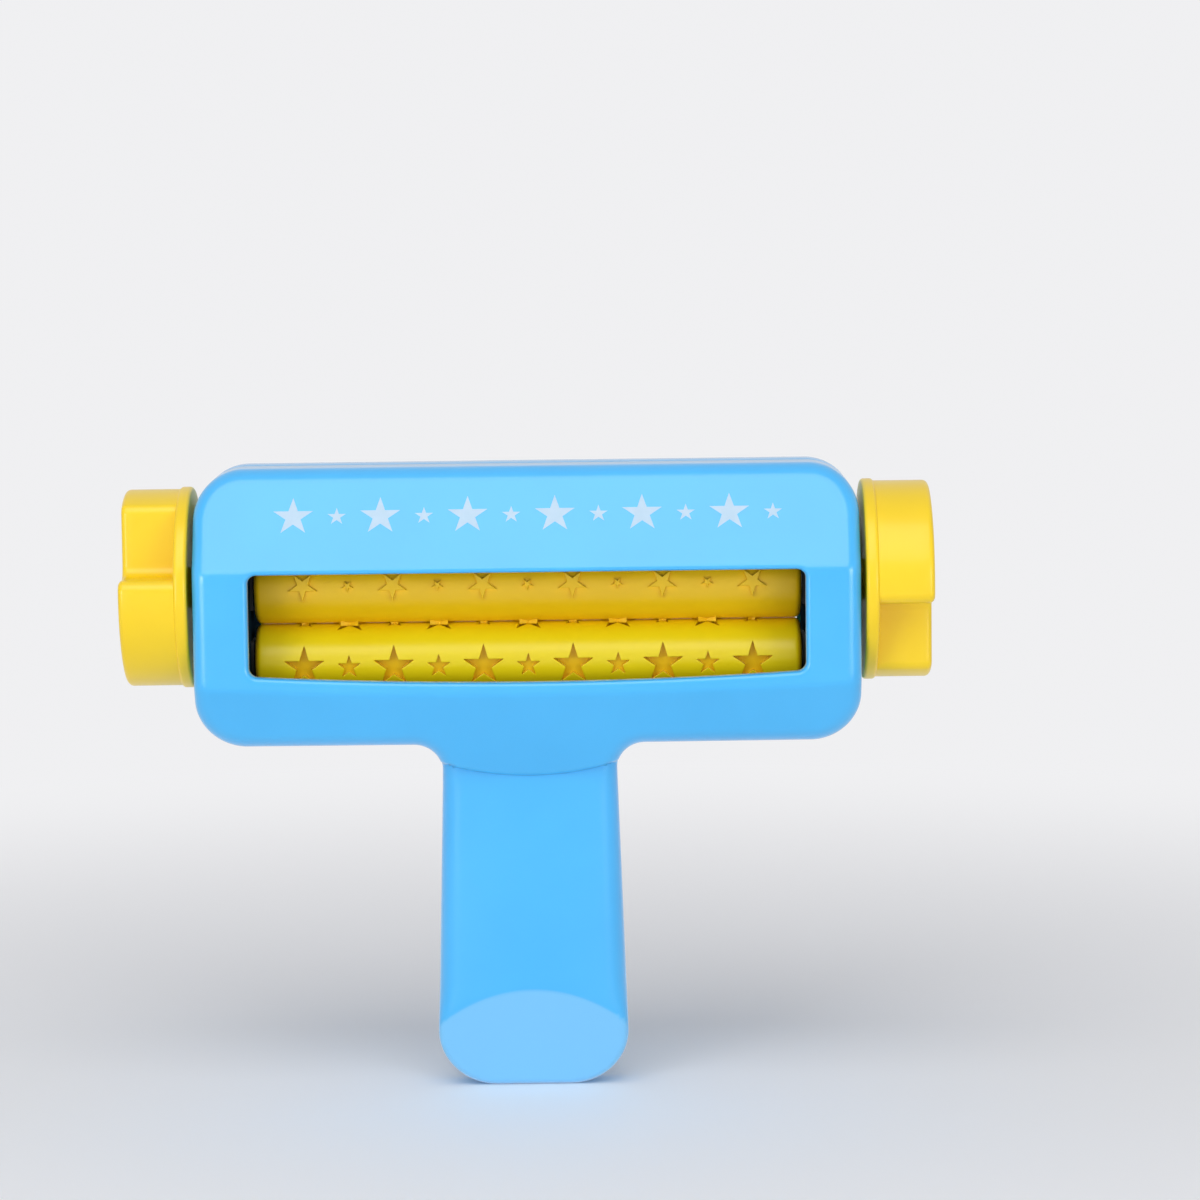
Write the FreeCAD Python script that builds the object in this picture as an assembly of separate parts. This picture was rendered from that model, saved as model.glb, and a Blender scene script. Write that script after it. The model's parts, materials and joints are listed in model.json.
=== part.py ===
import FreeCAD, Part
import math
import os

from FreeCAD import Vector

# Hand-held embossing paper crimper, in millimetres and degrees.
# X runs along the two rollers, -Y is the front and +Z is up. The origin lies on the
# flat end of the handle, below the middle of the housing. Heights named "above_nip"
# or "below_nip" are counted from the line where the two rollers meet.

# Rollers and their stars
roller_r = 8.35
roller_length = 122.0
roller_gap = 0.3
roller_edge = 1.4
star_rows = 4
stars_in_row = 11
star_pitch = 10.0
large_pocket_r = 4.7
small_pocket_r = 2.7
pocket_tip_depth = 0.6
star_clearance = 0.4
star_height = 0.8
row_turn = 4.0

# Shafts, bushes and gears
shaft_r = 2.5
shaft_flat = 0.5
keyed_clearance = 0.03
running_clearance = 0.05
bush_width = 8.0
bush_flange_width = 10.0
bush_flange = 0.7
gear_teeth = 17
pressure_angle = 20.0
gear_backlash = 0.25
gear_width = 5.0
gear_side_gap = 0.4
gear_room = 1.4
shaft_end_gap = 0.4

# Housing
wall = 2.2
nip_height = 105.0
body_depth = 46.0
body_above_nip = 35.5
body_below_nip = 26.0
body_corner_r = 11.0
body_edge = 1.9
band_above_nip = 13.4
band_below_nip = 13.9
band_bow = 1.9
band_edge_r = 2.5
band_edge = 0.7
upper_slope = 28.0
lower_slope = 33.0
bulkhead_gap = 1.0
bulkhead = 2.5
bush_seat_gap = 0.05
hub_hole_gap = 0.4

# Paper mouth and the ledges behind it
mouth_side_gap = 0.2
mouth_above_nip = 13.0
mouth_below_nip = 11.2
mouth_bow = 1.8
mouth_corner_r = 2.0
mouth_lip_r = 1.1
ledge = 1.6
ledge_drop = 2.0
ledge_to_star = 0.85

# Handle
neck_width = 39.0
neck_below_nip = 32.2
shoulder_r = 6.2
crease_below_nip = 30.9
crease_rise = 1.7
handle_end_width = 43.5
handle_end_corner_r = 13.0
handle_end_depth = 25.2
handle_neck_depth = 23.2
handle_end_crown = 3.4
handle_neck_crown = 0.6
handle_neck_edge = 2.6
handle_end_edge = 4.6
end_slope = 18.0
end_slope_height = 23.5
handle_rib = 1.6
handle_rib_heights = (14.0, 34.0, 54.0)

# Knobs
knob_gap = 1.1
flange_r = 22.5
flange = 2.9
flange_rim = 0.9
grip_r = 22.0
grip_length = 12.2
grip_notches = 2
notch_floor = 11.5
notch_step = 3.6
notch_foot_r = 2.5
notch_corner_r = 2.5
grip_rim = 1.0
hub_r = 4.5
hub_end_gap = 0.2
screw_pit_r = 5.0
screw_pit = 4.2

# Screws and washers
screw_r = 1.5
screw_length = 16.0
screw_head_r = 2.8
screw_head = 1.9
screw_slack = 0.05
boss_wall = 1.5
head_room = 0.4
screw_seat_depth = 7.0
top_screw_inset = 5.0
top_screw_above_nip = 26.0
neck_screw_below_nip = 27.0
handle_screw_height = 24.0
knob_screw_length = 10.0
washer_r = 4.4
washer = 0.8

# Worked out from the sizes above
axis_offset = roller_r + roller_gap / 2
upper_axis = nip_height + axis_offset
lower_axis = nip_height - axis_offset
star_top_r = roller_r + star_height
bulkhead_inner = roller_length / 2 + bulkhead_gap
bulkhead_outer = bulkhead_inner + bulkhead
gear_inner = bulkhead_outer + gear_side_gap
gear_outer = gear_inner + gear_width
end_wall_inner = gear_outer + gear_room
end_wall = end_wall_inner + wall
mouth_half = roller_length / 2 + mouth_side_gap
top_screw_x = bulkhead_inner - top_screw_inset
flange_inner = end_wall + knob_gap
flange_outer = flange_inner + flange
knob_end = flange_outer + grip_length
pit_floor = knob_end - screw_pit
boss_r = screw_r + screw_slack + boss_wall
head_bore_r = screw_head_r + head_room
far = 400.0

X = Vector(1, 0, 0)
Y = Vector(0, 1, 0)
Z = Vector(0, 0, 1)
ORIGIN = Vector(0, 0, 0)


def sin(angle):
    return math.sin(math.radians(angle))


def cos(angle):
    return math.cos(math.radians(angle))


def tan(angle):
    return math.tan(math.radians(angle))


def box(x0, x1, y0, y1, z0, z1):
    return Part.makeBox(x1 - x0, y1 - y0, z1 - z0, Vector(x0, y0, z0))


def cylinder_x(radius, x0, x1, height):
    return Part.makeCylinder(radius, x1 - x0, Vector(x0, 0, height), X)


def cylinder_y(radius, y0, y1, x, height):
    return Part.makeCylinder(radius, y1 - y0, Vector(x, y0, height), Y)


def square_x(half, x0, x1, height):
    return box(x0, x1, -half, half, height - half, height + half)


def mirror_x(shape):
    return shape.mirror(ORIGIN, X)


def mirror_y(shape):
    return shape.mirror(ORIGIN, Y)


def double_d(radius, flat_half, x0, x1, height):
    """A round bar with two flats, front and rear."""
    bar = cylinder_x(radius, x0, x1, height)
    return bar.common(box(x0, x1, -flat_half, flat_half, height - radius, height + radius))


def key_bore(x0, x1, height):
    """The bore of a piece that the shaft turns."""
    return double_d(
        shaft_r + keyed_clearance, shaft_r - shaft_flat + keyed_clearance, x0, x1, height
    )


def turned(profile, height=0.0, seam=0.0):
    """A solid turned about the X axis from (x, radius) points; seam is where it closes."""
    points = [Vector(x, 0, radius) for x, radius in profile]
    solid = Part.Face(Part.makePolygon(points + points[:1])).revolve(ORIGIN, X, 360)
    solid.rotate(ORIGIN, X, seam)
    solid.translate(Vector(0, 0, height))
    return solid


def rounded_wire(corners):
    """A closed outline of straight lines, each corner given with its own radius."""
    points = [corner for corner, radius in corners]
    ends = []
    for i, (corner, radius) in enumerate(corners):
        back = (points[i - 1] - corner).normalize()
        ahead = (points[(i + 1) % len(points)] - corner).normalize()
        if radius <= 0:
            ends.append((corner, None, corner))
            continue
        half = back.getAngle(ahead) / 2
        reach = radius / math.tan(half)
        inwards = (back + ahead).normalize()
        middle = corner + inwards * (radius / math.sin(half) - radius)
        ends.append((corner + back * reach, middle, corner + ahead * reach))
    edges = []
    for i, (start, middle, end) in enumerate(ends):
        if middle is not None:
            edges.append(Part.Arc(start, middle, end).toShape())
        following = ends[(i + 1) % len(ends)][0]
        if end.distanceToPoint(following) > 1e-6:
            edges.append(Part.LineSegment(end, following).toShape())
    return Part.Wire(edges)


def region_below(half_length, middle_height, rise, y):
    """The part of a plane across Y that lies below an arc bowed down in the middle."""
    left = Vector(-half_length, y, middle_height + rise)
    right = Vector(half_length, y, middle_height + rise)
    arc = Part.Arc(left, Vector(0, y, middle_height), right).toShape()
    low_left = Vector(-half_length, y, middle_height - far)
    low_right = Vector(half_length, y, middle_height - far)
    sides = Part.makePolygon([right, low_right, low_left, left])
    return Part.Face(Part.Wire([arc] + sides.Edges))


# Stars and rollers


def star_prism(x, radius, y0, y1):
    """A five-pointed star facing -Y with its tip up, from y0 out to y1."""
    inner = radius * sin(18) / sin(126)
    points = []
    for i in range(10):
        reach = radius if i % 2 == 0 else inner
        turn = 90 + 36 * i
        points.append(Vector(x + reach * cos(turn), -y0, reach * sin(turn)))
    face = Part.Face(Part.makePolygon(points + points[:1]))
    return face.extrude(Vector(0, y0 - y1, 0))


def star_prisms(shrink, top):
    """All the stars of a roller, large and small ones taking turns along and around it."""
    prisms = []
    for row in range(star_rows):
        for i in range(stars_in_row):
            x = (i - (stars_in_row - 1) / 2) * star_pitch
            pocket_r = large_pocket_r if (i + row) % 2 == 0 else small_pocket_r
            prism = star_prism(x, pocket_r - shrink, pocket_floor(pocket_r), top)
            prism.rotate(ORIGIN, X, row * 360 / star_rows + row_turn)
            prisms.append(prism)
    return prisms


def pocket_floor(pocket_r):
    return math.sqrt(roller_r**2 - pocket_r**2) - pocket_tip_depth


def roller_blank(radius):
    """A bare roller about the X axis; its seam lies between two rows of stars."""
    half = roller_length / 2
    profile = [(half, 0.0), (half, radius - roller_edge), (half - roller_edge, radius)]
    profile += [(-x, reach) for x, reach in reversed(profile)]
    return turned(profile, seam=180 / star_rows + row_turn)


def driven_roller():
    """The lower roller, with star-shaped pockets."""
    roller = roller_blank(roller_r).cut(star_prisms(0, star_top_r + 1))
    roller.translate(Vector(0, 0, lower_axis))
    half = roller_length / 2
    return roller.cut(key_bore(-half, half, lower_axis))


def drive_roller():
    """The upper roller, with raised stars that fit the pockets."""
    roller = roller_blank(roller_r).fuse(star_prisms(star_clearance / sin(18), star_top_r))
    roller = roller.mirror(ORIGIN, Z)
    roller.translate(Vector(0, 0, upper_axis))
    half = roller_length / 2
    return roller.cut(key_bore(-half, half, upper_axis))


# Shafts, bushes and gears


def shaft(end, height):
    return double_d(shaft_r, shaft_r - shaft_flat, -end, end, height)


def drive_shaft():
    """It runs out to the knobs and is drilled at both ends for their screws."""
    end = pit_floor - shaft_end_gap
    drilled = shaft(end, upper_axis)
    depth = knob_screw_length
    for hole_start in (-end, end - depth):
        drilled = drilled.cut(
            cylinder_x(screw_r + screw_slack, hole_start, hole_start + depth, upper_axis)
        )
    return drilled


def driven_shaft():
    return shaft(end_wall_inner - shaft_end_gap, lower_axis)


def right_bush(height):
    """A square bearing block with a flange, round inside, so it cannot turn in its seat."""
    inner = bulkhead_inner - bush_flange
    block = square_x(bush_width / 2, inner, bulkhead_outer, height)
    collar = square_x(bush_flange_width / 2, inner, bulkhead_inner, height)
    bore = cylinder_x(shaft_r + running_clearance, inner, bulkhead_outer, height)
    return block.fuse(collar).cut(bore)


def involute(angle):
    return tan(angle) - math.radians(angle)


def gear_outline(first_tooth, height):
    """Straight chords under involute flanks; first_tooth points at one tooth, from +Y to +Z."""
    pitch_r = axis_offset
    module = 2 * pitch_r / gear_teeth
    base_r = pitch_r * cos(pressure_angle)
    half_at_pitch = (math.pi * pitch_r / gear_teeth - gear_backlash / 2) / 2 / pitch_r
    flank = []
    for radius in (pitch_r - 1.25 * module, pitch_r + module):
        slope = math.degrees(math.acos(min(1, base_r / radius)))
        half = half_at_pitch + involute(pressure_angle) - involute(slope)
        flank.append((radius, math.degrees(half)))
    points = []
    for i in range(gear_teeth):
        middle = first_tooth + i * 360 / gear_teeth
        rising = [(radius, middle - half) for radius, half in flank]
        falling = [(radius, middle + half) for radius, half in reversed(flank)]
        for radius, turn in rising + falling:
            points.append(Vector(gear_inner, radius * cos(turn), height + radius * sin(turn)))
    return Part.makePolygon(points + points[:1])


def right_gear(first_tooth, height):
    blank = Part.Face(gear_outline(first_tooth, height)).extrude(X * gear_width)
    return blank.cut(key_bore(gear_inner, gear_outer, height))


# Knobs


def notch_cutter():
    """What lies in front of a flat of the grip and below the step at the end of the flat."""
    corners = [
        (Vector(flange_outer, -notch_floor, -notch_step), notch_foot_r),
        (Vector(flange_outer, -notch_floor, -far), 0),
        (Vector(flange_outer, -far, -far), 0),
        (Vector(flange_outer, -far, -notch_step), 0),
    ]
    return Part.Face(rounded_wire(corners)).extrude(X * grip_length)


def right_knob():
    """A round flange with a stepped grip outside it and a hub that reaches the gear."""
    disc = turned(
        [
            (flange_inner, 0.0),
            (flange_inner, flange_r),
            (flange_outer - flange_rim, flange_r),
            (flange_outer, flange_r - flange_rim),
            (flange_outer, 0.0),
        ]
    )
    grip = cylinder_x(grip_r, flange_outer, knob_end, 0)
    for i in range(grip_notches):
        notch = notch_cutter()
        notch.rotate(ORIGIN, X, i * 360 / grip_notches)
        grip = grip.cut(notch)
    grip = grip.removeSplitter()
    corners = [
        edge
        for edge in grip.Edges
        if edge.BoundBox.XLength > grip_length / 2
        and math.hypot(edge.BoundBox.Center.y, edge.BoundBox.Center.z) > grip_r - 1
        and not edge.Closed
        and is_corner(edge, grip)
    ]
    grip = grip.makeFillet(notch_corner_r, corners)
    blank = turned(
        [
            (flange_outer, 0.0),
            (flange_outer, grip_r),
            (knob_end - grip_rim, grip_r),
            (knob_end, grip_r - grip_rim),
            (knob_end, 0.0),
        ]
    )
    grip = grip.common(blank)
    hub = cylinder_x(hub_r, gear_outer + hub_end_gap, flange_inner, 0)
    knob = disc.fuse([grip, hub])
    knob.translate(Vector(0, 0, upper_axis))
    knob = knob.cut(key_bore(gear_outer, pit_floor, upper_axis))
    return knob.cut(cylinder_x(screw_pit_r, pit_floor, knob_end, upper_axis))


def is_corner(edge, solid):
    """True where the two faces beside a straight edge meet at an angle."""
    point = edge.valueAt((edge.FirstParameter + edge.LastParameter) / 2)
    normals = []
    for face in solid.ancestorsOfType(edge, Part.Face):
        u, v = face.Surface.parameter(point)
        normals.append(face.normalAt(u, v))
    return len(normals) == 2 and normals[0].getAngle(normals[1]) > 0.2


def knob_screw():
    """A pan-head screw along X, its head outwards."""
    under_head = pit_floor + washer
    length = knob_screw_length - shaft_end_gap
    shank = cylinder_x(screw_r, under_head - length, under_head, upper_axis)
    head = cylinder_x(screw_head_r, under_head, under_head + screw_head, upper_axis)
    return shank.fuse(head)


def knob_washer():
    ring = cylinder_x(washer_r, pit_floor, pit_floor + washer, upper_axis)
    return ring.cut(cylinder_x(screw_r + screw_slack, pit_floor, pit_floor + washer, upper_axis))


# Housing. Both shells come from one form, and "inset" gives the same form further in.


def body_outline(inset):
    """Front view of the body with the neck of the handle below it."""
    half = end_wall - inset
    top = nip_height + body_above_nip - inset
    bottom = nip_height - body_below_nip + inset
    neck = neck_width / 2 - inset
    low = nip_height - neck_below_nip
    corner = body_corner_r - inset
    shoulder = shoulder_r + inset
    low_corner = low - 1
    right = [
        (Vector(half, -far / 2, top), corner),
        (Vector(half, -far / 2, bottom), corner),
        (Vector(neck, -far / 2, bottom), shoulder),
        (Vector(neck, -far / 2, low_corner), 0),
    ]
    left = [(Vector(-point.x, point.y, point.z), radius) for point, radius in reversed(right)]
    outline = Part.Face(rounded_wire(right + left)).extrude(Y * far)
    return outline.cut(box(-far, far, -far, far, low - far, low))


def body_section(inset):
    """Side view: an upright band at the front and rear below two upper slopes."""
    band = body_depth / 2 - inset
    edge = nip_height + band_above_nip - inset * tan(upper_slope / 2)
    top = nip_height + body_above_nip + 2
    low = nip_height - body_below_nip - far
    back = band - (top - edge) * tan(upper_slope)
    front = [
        (Vector(-far / 2, -back, top), 0),
        (Vector(-far / 2, -band, edge), band_edge_r),
        (Vector(-far / 2, -band, low), 0),
    ]
    rear = [(Vector(point.x, -point.y, point.z), radius) for point, radius in reversed(front)]
    return Part.Face(rounded_wire(front + rear)).extrude(X * far)


def under_slope(inset):
    """What lies outside the sloped and bowed underside of the front."""
    plane = region_below(
        end_wall, nip_height - band_below_nip, band_bow, -body_depth / 2
    )
    down = Vector(0, sin(lower_slope), -cos(lower_slope))
    inwards = Vector(0, cos(lower_slope), sin(lower_slope))
    length = (neck_below_nip - band_below_nip + band_bow) / cos(lower_slope)
    lead = body_edge
    plane.translate(inwards * inset - down * lead)
    return plane.extrude(down * (lead + length + inset))


def crease_cutter(inset):
    """What lies in front of the handle below the crease of the neck."""
    half = neck_width / 2 + shoulder_r
    rise = crease_rise * (half / (neck_width / 2)) ** 2
    height = nip_height - crease_below_nip + inset
    y = -(handle_neck_depth / 2 - handle_neck_crown - handle_neck_edge)
    below = region_below(half, height, rise, y)
    return below.extrude(Y * (-far))


def body(inset):
    solid = body_outline(inset).common(body_section(inset))
    slope = under_slope(inset)
    solid = solid.cut([slope, mirror_y(slope)])
    if inset == 0:
        solid = round_body(solid)
    crease = crease_cutter(inset)
    return solid.cut([crease, mirror_y(crease)])


def round_body(solid):
    """Round the lower edge of the bands, then the rim of the front view all round."""
    band = body_depth / 2
    bowed = []
    for edge in solid.Edges:
        at_band = abs(abs(edge.BoundBox.Center.y) - band) < 0.01 and edge.BoundBox.YLength < 0.01
        if at_band and edge.BoundBox.XLength > end_wall and edge.BoundBox.ZLength > band_bow / 2:
            bowed.append(edge)
    solid = solid.makeChamfer(band_edge, bowed)
    rim = []
    bottom = nip_height - body_below_nip
    for edge in solid.Edges:
        middle = edge.BoundBox.Center
        if edge.BoundBox.YLength > body_depth / 2:
            continue
        at_end = abs(middle.x) > end_wall - body_corner_r and edge.BoundBox.XLength < body_corner_r + 1
        at_top = edge.BoundBox.ZMin > nip_height + body_above_nip - 0.01
        at_bottom = abs(middle.z - bottom) < 0.01 and edge.BoundBox.ZLength < 0.01
        if at_end or at_top or at_bottom:
            rim.append(edge)
    return solid.makeChamfer(body_edge, rim)


def along_handle(at_end, at_neck, height):
    """A size of the handle at a height, when it changes evenly from end to neck."""
    return at_end + (at_neck - at_end) * height / (nip_height - neck_below_nip)


def handle_section(height, inset):
    """Plan view of the handle: crowned outside, in flats inside, its edges in two bevels."""
    half = along_handle(handle_end_width, neck_width, height) / 2 - inset
    front = along_handle(handle_end_depth, handle_neck_depth, height) / 2 - inset
    side = front - along_handle(handle_end_crown, handle_neck_crown, height)
    edge = along_handle(handle_end_edge, handle_neck_edge, height)
    bend = edge * (1 - cos(45))
    right = [
        Vector(half - edge, -side, height),
        Vector(half - bend, -side + bend, height),
        Vector(half, -side + edge, height),
    ]
    right += [Vector(point.x, -point.y, height) for point in reversed(right)]
    left = [Vector(-point.x, point.y, height) for point in reversed(right)]
    front_arc = Part.Arc(left[-1], Vector(0, -front, height), right[0]).toShape()
    rear_arc = Part.Arc(right[-1], Vector(0, front, height), left[0]).toShape()
    if inset > 0:
        front_arc = Part.makePolygon(front_arc.discretize(Number=4))
        rear_arc = Part.makePolygon(rear_arc.discretize(Number=4))
    edges = Part.makePolygon(right).Edges + rear_arc.Edges
    edges += Part.makePolygon(left).Edges + front_arc.Edges
    return Part.Wire(edges)


def handle(inset):
    """The tapered grip up to the inside of the body."""
    top = nip_height - body_below_nip
    grip = Part.makeLoft([handle_section(-1, inset), handle_section(top, inset)], True, True)
    half = handle_end_width / 2 - inset
    right = [
        (Vector(half, -far / 2, top + 1), 0),
        (Vector(half, -far / 2, inset), handle_end_corner_r - inset),
    ]
    left = [(Vector(-point.x, point.y, point.z), radius) for point, radius in reversed(right)]
    outline = Part.Face(rounded_wire(right + left)).extrude(Y * far)
    slope = end_slope_cutter(inset)
    return grip.common(outline).cut([slope, mirror_y(slope)])


def end_slope_cutter(inset):
    """What lies in front of the sloped facet at the end of the handle."""
    depth = along_handle(handle_end_depth, handle_neck_depth, end_slope_height)
    start = Vector(-far / 2, -depth / 2 + inset / cos(end_slope), end_slope_height)
    down = Vector(0, sin(end_slope), -cos(end_slope)) * far
    corners = [start + down, start - down, start - down - Y * far, start + down - Y * far]
    return Part.Face(Part.makePolygon(corners + corners[:1])).extrude(X * far)


def housing_form(inset):
    return body(inset).fuse(handle(inset)).removeSplitter()


def mouth_wire(y, grow):
    """Outline of the paper mouth with its rounded corners, in the plane at y."""
    middle = nip_height - mouth_below_nip
    left = Vector(-mouth_half, y, middle + mouth_bow)
    right = Vector(mouth_half, y, middle + mouth_bow)
    top = nip_height + mouth_above_nip
    arc = Part.Arc(left, Vector(0, y, middle), right).toShape()
    corners = [right, Vector(mouth_half, y, top), Vector(-mouth_half, y, top), left]
    upper = Part.makePolygon(corners)
    wire = Part.Wire([arc] + upper.Edges)
    shrunk = wire.makeOffset2D(-mouth_corner_r)
    return shrunk.makeOffset2D(mouth_corner_r + grow)


def mouth_cutter():
    """The mouth through the front wall, with a rounded lip."""
    front = -body_depth / 2
    bend = mouth_lip_r * (1 - cos(45))
    rings = [
        mouth_wire(front - mouth_lip_r, 2 * mouth_lip_r),
        mouth_wire(front, mouth_lip_r),
        mouth_wire(front + bend, bend),
        mouth_wire(front + mouth_lip_r, 0),
        mouth_wire(front + 2 * wall, 0),
    ]
    return Part.makeLoft(rings, True, True)


def bulkheads(form):
    """The two walls that carry the bushes, in the front half."""
    plate = box(bulkhead_inner, bulkhead_outer, -far, 0, 0, far)
    for height in (upper_axis, lower_axis):
        plate = plate.cut(
            square_x(bush_width / 2 + bush_seat_gap, bulkhead_inner, bulkhead_outer, height)
        )
    plate = plate.common(form)
    return [plate, mirror_x(plate)]


def ledges(form):
    """Shelves above and below the mouth that lead the paper to the rollers."""
    inner = -(star_top_r + ledge_to_star)
    upper = nip_height + mouth_above_nip + ledge_drop - wall / 4
    lower = nip_height - mouth_below_nip - ledge_drop
    shelves = []
    for bottom in (upper, lower - ledge):
        shelf = box(-bulkhead_outer, bulkhead_outer, -far, inner, bottom, bottom + ledge)
        shelves.append(shelf.common(form))
    return shelves


def handle_ribs(form):
    ribs = []
    for height in handle_rib_heights:
        rib = box(-far, far, -far, 0, height, height + handle_rib)
        ribs.append(rib.common(form))
    return ribs


def screw_places():
    places = [(x, nip_height + top_screw_above_nip) for x in (-top_screw_x, top_screw_x)]
    places.append((0.0, nip_height - neck_screw_below_nip))
    places.append((0.0, handle_screw_height))
    return places


def front_half():
    """The front shell before its screw bosses, and the form that trims them."""
    form = housing_form(0)
    hollow = housing_form(wall)
    front = box(-far, far, -far, 0, -1, far)
    form = form.common(front)
    shell = form.cut(hollow)
    inner_form = housing_form(wall / 2).common(front)
    extras = bulkheads(inner_form) + ledges(inner_form) + handle_ribs(inner_form)
    shell = shell.fuse(extras).cut(mouth_cutter())
    hole = cylinder_x(hub_r + hub_hole_gap, end_wall_inner - 1, far, upper_axis)
    return shell.cut([hole, mirror_x(hole)]), inner_form, form


def front_shell(half, inner_form):
    """The shell with blind bosses for the screws."""
    tip = screw_seat_depth - screw_length
    for x, height in screw_places():
        boss = cylinder_y(boss_r, -far, 0, x, height).common(inner_form)
        half = half.fuse(boss)
    for x, height in screw_places():
        half = half.cut(cylinder_y(screw_r + screw_slack, tip - 1, 0, x, height))
    return half.removeSplitter()


def rear_shell(half, outer_form):
    """The shell with bosses that the screws go through from behind."""
    rear = mirror_y(half)
    form = mirror_y(outer_form)
    for x, height in screw_places():
        boss = cylinder_y(head_bore_r + boss_wall, 0, far, x, height).common(form)
        rear = rear.fuse(boss)
    for x, height in screw_places():
        rear = rear.cut(cylinder_y(screw_r + screw_slack, 0, far, x, height))
        rear = rear.cut(cylinder_y(head_bore_r, screw_seat_depth, far, x, height))
    return rear.removeSplitter()


def shell_screws():
    screws = []
    for x, height in screw_places():
        shank = cylinder_y(
            screw_r, screw_seat_depth - screw_length, screw_seat_depth, x, height
        )
        head = cylinder_y(
            screw_head_r, screw_seat_depth, screw_seat_depth + screw_head, x, height
        )
        screws.append(shank.fuse(head))
    return Part.Compound(screws)


def export(name, shape):
    solids = shape.Solids
    result = solids[0] if len(solids) == 1 else Part.Compound(solids)
    if not result.isValid():
        print("not valid:", name)
    result.exportStep(os.path.join("parts", name + ".step"))
    volume = sum(solid.Volume for solid in solids)
    print(name, len(solids), "solid(s)", round(volume), "mm3")


def main():
    os.makedirs("parts", exist_ok=True)
    half, inner_form, outer_form = front_half()
    export("front_shell", front_shell(half, inner_form))
    export("rear_shell", rear_shell(half, outer_form))
    export("drive_roller", drive_roller())
    export("driven_roller", driven_roller())
    export("drive_shaft", drive_shaft())
    export("driven_shaft", driven_shaft())
    tooth_down = -90.0
    gap_up = 90.0 + 180.0 / gear_teeth
    pieces = {
        "drive_gear": right_gear(tooth_down, upper_axis),
        "driven_gear": right_gear(gap_up, lower_axis),
        "upper_bush": right_bush(upper_axis),
        "lower_bush": right_bush(lower_axis),
        "knob_screw": knob_screw(),
        "knob_washer": knob_washer(),
    }
    for name, shape in pieces.items():
        export("right_" + name, shape)
        export("left_" + name, mirror_x(shape))
    knob = right_knob()
    export("right_knob", knob)
    same_knob = knob.copy()
    same_knob.rotate(ORIGIN, Z, 180)
    export("left_knob", same_knob)
    export("shell_screws", shell_screws())


main()
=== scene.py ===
import json
import math

import bmesh
import bpy
import numpy as np
from mathutils import Matrix, Vector
from mathutils.geometry import delaunay_2d_cdt


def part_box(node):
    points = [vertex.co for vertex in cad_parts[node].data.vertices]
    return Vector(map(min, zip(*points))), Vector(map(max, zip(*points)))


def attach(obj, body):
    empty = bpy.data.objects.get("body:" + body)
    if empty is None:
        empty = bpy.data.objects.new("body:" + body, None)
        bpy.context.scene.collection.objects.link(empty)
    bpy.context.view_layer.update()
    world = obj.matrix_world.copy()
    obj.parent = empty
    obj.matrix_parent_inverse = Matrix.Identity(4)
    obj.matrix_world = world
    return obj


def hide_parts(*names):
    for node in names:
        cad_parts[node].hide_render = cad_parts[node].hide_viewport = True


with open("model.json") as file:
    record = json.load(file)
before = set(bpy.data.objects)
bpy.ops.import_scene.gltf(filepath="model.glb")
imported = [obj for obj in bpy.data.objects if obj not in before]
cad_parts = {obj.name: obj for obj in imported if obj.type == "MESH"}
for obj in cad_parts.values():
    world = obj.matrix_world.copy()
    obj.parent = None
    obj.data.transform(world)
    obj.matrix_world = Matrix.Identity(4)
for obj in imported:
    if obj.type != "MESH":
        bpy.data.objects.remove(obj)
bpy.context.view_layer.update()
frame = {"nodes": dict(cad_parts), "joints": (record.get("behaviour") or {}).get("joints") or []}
print("frame loaded:", len(frame["nodes"]), "nodes")

mm = 0.001  # sizes below are in millimetres, meshes are in metres
nought = 1e-6  # stands for zero where sums aren't exact
rowShare = 0.87  # how far apart the rows of a grid of triangles are, in its steps

# The two roller axes come from the joints, and the rest is counted from the nip between them.
axisHeights = {joint["name"]: joint["pos_m"][2] / mm for joint in frame["joints"]}
upperAxis = axisHeights["drive_roller_spin"]
lowerAxis = axisHeights["driven_roller_spin"]
nip = (upperAxis + lowerAxis) / 2


def nodeBox(name):
    low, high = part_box(name)
    return low / mm, high / mm


def smoothStep(low, high, value):
    t = np.clip((value - low) / (high - low), 0, 1)
    return t * t * (3 - 2 * t)


def smoothMin(a, b, reach):
    h = np.maximum(reach - np.abs(a - b), 0) / reach
    return np.minimum(a, b) - h * h * reach / 4


def easeEdge(distance, radius):  # depth lost beside a rounded edge
    t = np.clip(distance / radius, 0, 1)
    return radius * (1 - np.sqrt(1 - (1 - t) ** 2))


def easeSteps(count):  # distances for even steps round a quarter circle, as shares of its radius
    return [1 - math.cos(math.pi / 2 * i / count) for i in range(count + 1)]


def spreadAlong(points, step, least=1):
    # points about a step apart along the straight sides of a closed outline
    spread = []
    for i, point in enumerate(points):
        following = points[(i + 1) % len(points)]
        pieces = max(least, round((following - point).length / step))
        spread += [tuple(point.lerp(following, k / pieces)) for k in range(pieces)]
    return np.array(spread)


def roundedPath(corners, step=1.0, turn=7.0):
    # a closed outline through (x, z, radius) corners
    points = []
    count = len(corners)
    for i, (x, z, radius) in enumerate(corners):
        here = Vector((x, z))
        back = (Vector(corners[i - 1][:2]) - here).normalized()
        ahead = (Vector(corners[(i + 1) % count][:2]) - here).normalized()
        half = back.angle(ahead) / 2
        reach = radius / math.tan(half)
        centre = here + (back + ahead).normalized() * (radius / math.sin(half))
        start = here + back * reach - centre
        sweep = start.angle(here + ahead * reach - centre)
        sign = 1 if start.cross(here + ahead * reach - centre) > 0 else -1
        pieces = max(2, math.ceil(math.degrees(sweep) / turn))
        for k in range(pieces + 1):
            angle = sign * sweep * k / pieces
            points.append(centre + Matrix.Rotation(angle, 2) @ start)
    return spreadAlong(points, step)


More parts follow.
